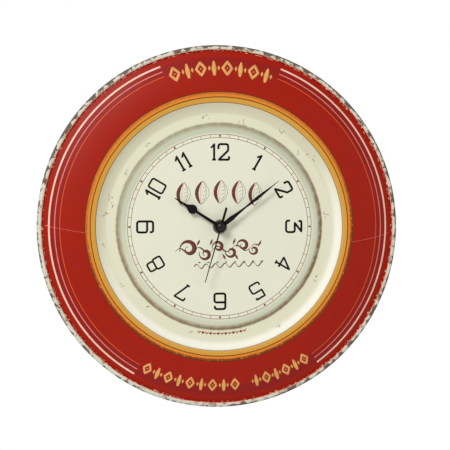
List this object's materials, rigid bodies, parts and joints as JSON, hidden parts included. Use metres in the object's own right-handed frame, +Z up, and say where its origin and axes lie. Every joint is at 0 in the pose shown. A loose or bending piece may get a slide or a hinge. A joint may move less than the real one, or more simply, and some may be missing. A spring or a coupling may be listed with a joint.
{
  "type": "wall clock",
  "caption": "Round pressed-tin wall clock with a domed printed band, numbered dial, spade hands and a battery quartz movement on a keyhole hanger.",
  "frame": {"origin": "centre of the round entry of the hanging keyhole, on the wall plane", "axes": "+Z up, the dial faces -Y, the wall is the plane y = 0 with the wall on the +Y side"},
  "size_m": [0.38, 0.0393, 0.38],
  "materials": {
    "face_print": "aged printed tin, satin",
    "tin_grey": "worn grey-green enamel over steel",
    "zinc_steel": "dull zinc plated",
    "brass": "satin",
    "rubber": "matte",
    "case_black": "fine textured moulding",
    "plastic_white": "moulded acetal",
    "plate_clear": "moulded",
    "copper": "enamelled copper wire",
    "core_steel": "laminated soft iron",
    "board": "printed board",
    "chip_black": "epoxy",
    "nickel": "nickel plated",
    "battery_wrap": "printed sleeve",
    "magnet": "sintered magnet",
    "hand_black": "satin black enamel"
  },
  "bodies": {
    "case": {"face_stamping": "face_print", "back_band": "tin_grey", "hanger_plate": "zinc_steel", "hanger_rivets": "zinc_steel", "gasket": "rubber", "dial_washer": "nickel", "hex_nut": "brass", "threaded_bushing": "brass", "movement_case": "case_black", "movement_cover": "case_black", "middle_plate": "plate_clear", "stator": "core_steel", "coil_core": "core_steel", "coil_bobbin": "plastic_white", "coil_winding": "copper", "circuit_board": "board", "quartz_crystal": "nickel", "control_chip": "chip_black", "battery": "battery_wrap", "positive_contact": "nickel", "negative_contact": "nickel"},
    "minute_train": {"minute_pipe": "brass", "centre_wheel": "plastic_white", "minute_hand": "hand_black", "minute_nut": "brass"},
    "hour_train": {"hour_wheel": "plastic_white", "hour_hand": "hand_black"},
    "minute_work": {"minute_work_wheel": "plastic_white"},
    "setting": {"setting_shaft": "plastic_white", "setting_knob": "case_black"},
    "second_train": {"second_arbor": "nickel", "second_wheel": "plastic_white", "second_hand": "hand_black", "hub_cap": "hand_black"},
    "third_train": {"third_arbor": "nickel", "third_wheel": "plastic_white"},
    "step_train": {"step_arbor": "nickel", "step_wheel": "plastic_white"},
    "rotor": {"rotor_arbor": "nickel", "rotor_magnet": "magnet"}
  },
  "joints": [
    {"name": "minute_turn", "type": "hinge", "parent": "case", "child": "minute_train", "pos_m": [0, -0.02, -0.16], "axis": [0, 1, 0], "continuous": true},
    {"name": "hour_turn", "type": "hinge", "parent": "case", "child": "hour_train", "pos_m": [0, -0.02, -0.16], "axis": [0, 1, 0], "continuous": true},
    {"name": "second_turn", "type": "hinge", "parent": "case", "child": "second_train", "pos_m": [0, -0.02, -0.16], "axis": [0, 1, 0], "continuous": true},
    {"name": "minute_work_turn", "type": "hinge", "parent": "case", "child": "minute_work", "pos_m": [0.00789, -0.02, -0.16287], "axis": [0, 1, 0], "continuous": true},
    {"name": "setting_turn", "type": "hinge", "parent": "case", "child": "setting", "pos_m": [0.01629, -0.02, -0.16287], "axis": [0, 1, 0], "continuous": true},
    {"name": "third_turn", "type": "hinge", "parent": "case", "child": "third_train", "pos_m": [-0.00846, -0.02, -0.15692], "axis": [0, 1, 0], "continuous": true},
    {"name": "step_turn", "type": "hinge", "parent": "case", "child": "step_train", "pos_m": [0.0035, -0.02, -0.15394], "axis": [0, 1, 0], "continuous": true},
    {"name": "rotor_turn", "type": "hinge", "parent": "case", "child": "rotor", "pos_m": [0.01027, -0.02, -0.15148], "axis": [0, 1, 0], "continuous": true}
  ],
  "couplings": [
    {"joint": "hour_turn", "follows": "minute_turn", "ratio": 0.083333},
    {"joint": "second_turn", "follows": "minute_turn", "ratio": 60},
    {"joint": "minute_work_turn", "follows": "minute_turn", "ratio": -0.33333},
    {"joint": "setting_turn", "follows": "minute_turn", "ratio": 1},
    {"joint": "third_turn", "follows": "minute_turn", "ratio": -8},
    {"joint": "step_turn", "follows": "minute_turn", "ratio": -360},
    {"joint": "rotor_turn", "follows": "minute_turn", "ratio": 1800}
  ]
}
